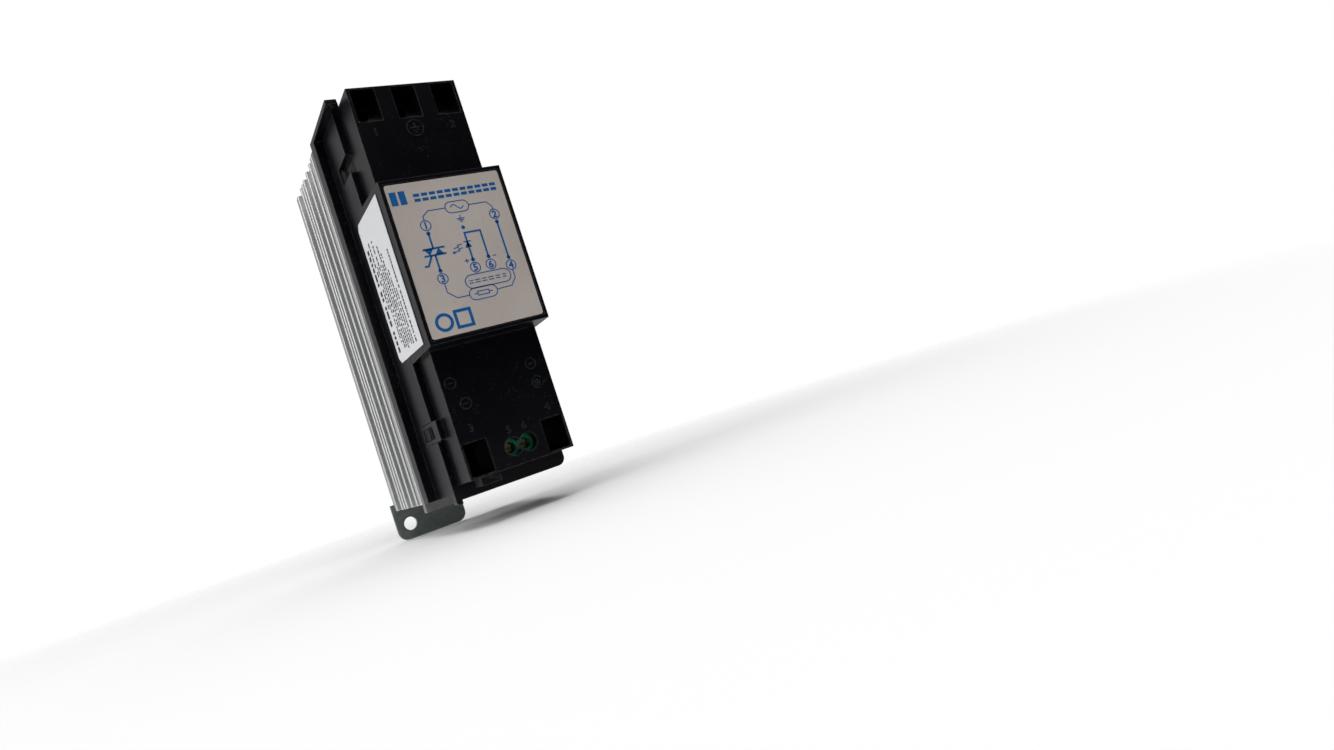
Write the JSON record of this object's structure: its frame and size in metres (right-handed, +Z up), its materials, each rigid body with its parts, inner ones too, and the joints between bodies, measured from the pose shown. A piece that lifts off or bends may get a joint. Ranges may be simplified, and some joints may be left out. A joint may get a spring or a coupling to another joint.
{
  "type": "solid state relay",
  "caption": "Slim solid state relay on a finned heat sink, with screw wells, a raised label block, a green control terminal and a steel foot plate for a panel.",
  "frame": {"origin": "on the back face of the steel mounting plate, on the centre line of the width, level with the middle of the raised label block", "axes": "+Z up along the length with the mains side up, -Y towards the label face, +Y into the panel, +X to the right seen from the front"},
  "size_m": [0.0476, 0.094, 0.149],
  "materials": {
    "black_plastic": "fine moulded texture, semi-matt black",
    "printed_plate": "satin grey-beige plate with blue printed circuit drawing",
    "paper_label": "matt white paper label",
    "aluminium": "natural extruded, die lines along its length",
    "zinc_steel": "dull zinc plate",
    "screw_steel": "bright zinc plate",
    "thermal_pad": "soft grey silicone",
    "module_resin": "moulded epoxy",
    "board": "green solder mask",
    "capacitor_case": "blue dipped case",
    "resistor_body": "tan lacquer",
    "led_lens": "red tinted lens",
    "clear_plastic": "clear polycarbonate",
    "copper": "tinned copper bar",
    "brass": "bare brass",
    "nickel": "nickel plate",
    "green_plastic": "moulded green polyamide"
  },
  "bodies": {
    "root": {"base_housing": "black_plastic", "front_cover": "black_plastic", "front_label": "printed_plate", "side_label": "paper_label", "heat_sink": "aluminium", "base_plate": "zinc_steel", "mounting_plate": "zinc_steel", "thermal_pad": "thermal_pad", "power_module": "module_resin", "circuit_board": "board", "optocoupler": "module_resin", "snubber_capacitor": "capacitor_case", "varistor": "resistor_body", "snubber_resistor": "resistor_body", "input_resistor": "resistor_body", "status_led": "led_lens", "light_pipe": "clear_plastic", "busbar_1": "copper", "busbar_3": "copper", "through_link_2_4": "copper", "earth_strap": "brass", "earth_foot_screw": "nickel", "module_screw_1": "nickel", "module_screw_3": "nickel", "control_terminal_block": "green_plastic", "control_contact_5": "nickel", "control_contact_6": "nickel", "relay_screw_upper": "screw_steel", "relay_screw_lower": "screw_steel", "plate_screw_upper": "screw_steel", "plate_screw_lower": "screw_steel", "housing_screw_1": "screw_steel", "housing_screw_2": "screw_steel", "housing_screw_3": "screw_steel", "housing_screw_4": "screw_steel"},
    "clamp_1": {"clamp_plate_1": "nickel"},
    "screw_1": {"terminal_screw_1": "nickel"},
    "clamp_earth": {"clamp_plate_earth": "nickel"},
    "screw_earth": {"terminal_screw_earth": "nickel"},
    "clamp_2": {"clamp_plate_2": "nickel"},
    "screw_2": {"terminal_screw_2": "nickel"},
    "clamp_3": {"clamp_plate_3": "nickel"},
    "screw_3": {"terminal_screw_3": "nickel"},
    "clamp_4": {"clamp_plate_4": "nickel"},
    "screw_4": {"terminal_screw_4": "nickel"},
    "control_screw_5": {"control_screw_5": "brass"},
    "control_cage_5": {"control_cage_5": "nickel"},
    "control_screw_6": {"control_screw_6": "brass"},
    "control_cage_6": {"control_cage_6": "nickel"}
  },
  "joints": [
    {"name": "clamp_1_slide", "type": "slide", "parent": "root", "child": "clamp_1", "axis": [0, -1, 0], "range_m": [0, 0.0035]},
    {"name": "screw_1_turn", "type": "hinge", "parent": "clamp_1", "child": "screw_1", "pos_m": [-0.0127, -0.0616, 0.0527], "axis": [0, -1, 0], "range_deg": [0, 1800]},
    {"name": "clamp_earth_slide", "type": "slide", "parent": "root", "child": "clamp_earth", "axis": [0, -1, 0], "range_m": [0, 0.0035]},
    {"name": "screw_earth_turn", "type": "hinge", "parent": "clamp_earth", "child": "screw_earth", "pos_m": [0, -0.0616, 0.0527], "axis": [0, -1, 0], "range_deg": [0, 1800]},
    {"name": "clamp_2_slide", "type": "slide", "parent": "root", "child": "clamp_2", "axis": [0, -1, 0], "range_m": [0, 0.0035]},
    {"name": "screw_2_turn", "type": "hinge", "parent": "clamp_2", "child": "screw_2", "pos_m": [0.0127, -0.0616, 0.0527], "axis": [0, -1, 0], "range_deg": [0, 1800]},
    {"name": "clamp_3_slide", "type": "slide", "parent": "root", "child": "clamp_3", "axis": [0, -1, 0], "range_m": [0, 0.0035]},
    {"name": "screw_3_turn", "type": "hinge", "parent": "clamp_3", "child": "screw_3", "pos_m": [-0.013, -0.0616, -0.0603], "axis": [0, -1, 0], "range_deg": [0, 1800]},
    {"name": "clamp_4_slide", "type": "slide", "parent": "root", "child": "clamp_4", "axis": [0, -1, 0], "range_m": [0, 0.0035]},
    {"name": "screw_4_turn", "type": "hinge", "parent": "clamp_4", "child": "screw_4", "pos_m": [0.013, -0.0616, -0.0603], "axis": [0, -1, 0], "range_deg": [0, 1800]},
    {"name": "control_screw_5_turn", "type": "hinge", "parent": "root", "child": "control_screw_5", "pos_m": [-0.00154, -0.0784, -0.0602], "axis": [0, -1, 0], "range_deg": [0, 1584]},
    {"name": "control_cage_5_slide", "type": "slide", "parent": "root", "child": "control_cage_5", "axis": [0, 1, 0], "range_m": [0, 0.0022]},
    {"name": "control_screw_6_turn", "type": "hinge", "parent": "root", "child": "control_screw_6", "pos_m": [0.00354, -0.0784, -0.0602], "axis": [0, -1, 0], "range_deg": [0, 1584]},
    {"name": "control_cage_6_slide", "type": "slide", "parent": "root", "child": "control_cage_6", "axis": [0, 1, 0], "range_m": [0, 0.0022]}
  ],
  "couplings": [
    {"joint": "screw_1_turn", "follows": "clamp_1_slide", "rad_per_m": 8975},
    {"joint": "screw_earth_turn", "follows": "clamp_earth_slide", "rad_per_m": 8975},
    {"joint": "screw_2_turn", "follows": "clamp_2_slide", "rad_per_m": 8975},
    {"joint": "screw_3_turn", "follows": "clamp_3_slide", "rad_per_m": 8975},
    {"joint": "screw_4_turn", "follows": "clamp_4_slide", "rad_per_m": 8975},
    {"joint": "control_screw_5_turn", "follows": "control_cage_5_slide", "rad_per_m": 12560},
    {"joint": "control_screw_6_turn", "follows": "control_cage_6_slide", "rad_per_m": 12560}
  ]
}
